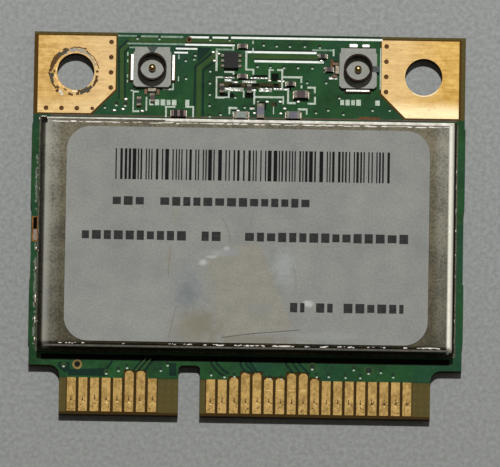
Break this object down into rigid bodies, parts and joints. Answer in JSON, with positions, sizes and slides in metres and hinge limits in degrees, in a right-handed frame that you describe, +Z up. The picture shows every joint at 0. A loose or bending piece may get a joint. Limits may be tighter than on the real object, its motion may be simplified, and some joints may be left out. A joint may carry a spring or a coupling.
{
  "type": "wireless network card",
  "caption": "Half-length wireless network card for a laptop, with gilded edge contacts, a soldered shield can under a label, coaxial antenna sockets and screw holes at its corners.",
  "frame": {"origin": "under the middle of the card's outline, on the plane that the card's underside lies on", "axes": "+X along the longer side, +Y from the contact edge towards the screw holes, +Z up from the board towards the shield can"},
  "size_m": [0.0302, 0.0268, 0.003],
  "materials": {
    "laminate": "bare glass fibre laminate, cut edges",
    "solder_mask": "green lacquer over copper, satin gloss",
    "gold": "thin gilding on copper, lightly scratched",
    "tinned_sheet": "tinned sheet, dull and worn on the bends",
    "solder": "tinned and soldered copper",
    "label_paper": "worn grey paper label",
    "insulator": "light grey heat-proof moulding",
    "socket_metal": "plated contact metal of the antenna sockets",
    "package": "black moulded package",
    "capacitor": "fired brown ceramic",
    "inductor": "grey violet ceramic",
    "resistor": "black glaze on ceramic",
    "filter_ceramic": "white ceramic",
    "ferrite": "dark grey pressed ferrite"
  },
  "bodies": {
    "root": {"circuit_board": "laminate", "solder_mask_top": "solder_mask", "solder_mask_back": "solder_mask", "ground_pad_left_top": "gold", "ground_pad_left_back": "gold", "ground_pad_right_top": "gold", "ground_pad_right_back": "gold", "edge_contacts_top": "gold", "edge_contacts_back": "gold", "component_lands": "solder", "shield_solder_track": "solder", "shield_fence": "tinned_sheet", "shield_cover": "tinned_sheet", "label": "label_paper", "antenna_socket_left_shell": "socket_metal", "antenna_socket_left_pin": "gold", "antenna_socket_left_insulator": "insulator", "antenna_socket_right_shell": "socket_metal", "antenna_socket_right_pin": "gold", "antenna_socket_right_insulator": "insulator", "antenna_switch": "package", "antenna_switch_leads": "solder", "antenna_strip_capacitors": "capacitor", "antenna_strip_inductors": "inductor", "antenna_strip_resistors": "resistor", "antenna_strip_chip_terminals": "solder", "radio_chip": "package", "radio_chip_leads": "solder", "power_amplifier_left": "package", "power_amplifier_left_leads": "solder", "power_amplifier_right": "package", "power_amplifier_right_leads": "solder", "memory_chip": "package", "memory_chip_leads": "solder", "voltage_regulator": "package", "voltage_regulator_leads": "solder", "crystal_base": "filter_ceramic", "crystal_lid": "tinned_sheet", "power_inductor": "ferrite", "power_inductor_terminals": "solder", "bypass_capacitors": "capacitor", "resistors": "resistor", "band_filters": "filter_ceramic", "shielded_chip_terminals": "solder"}
  },
  "joints": []
}
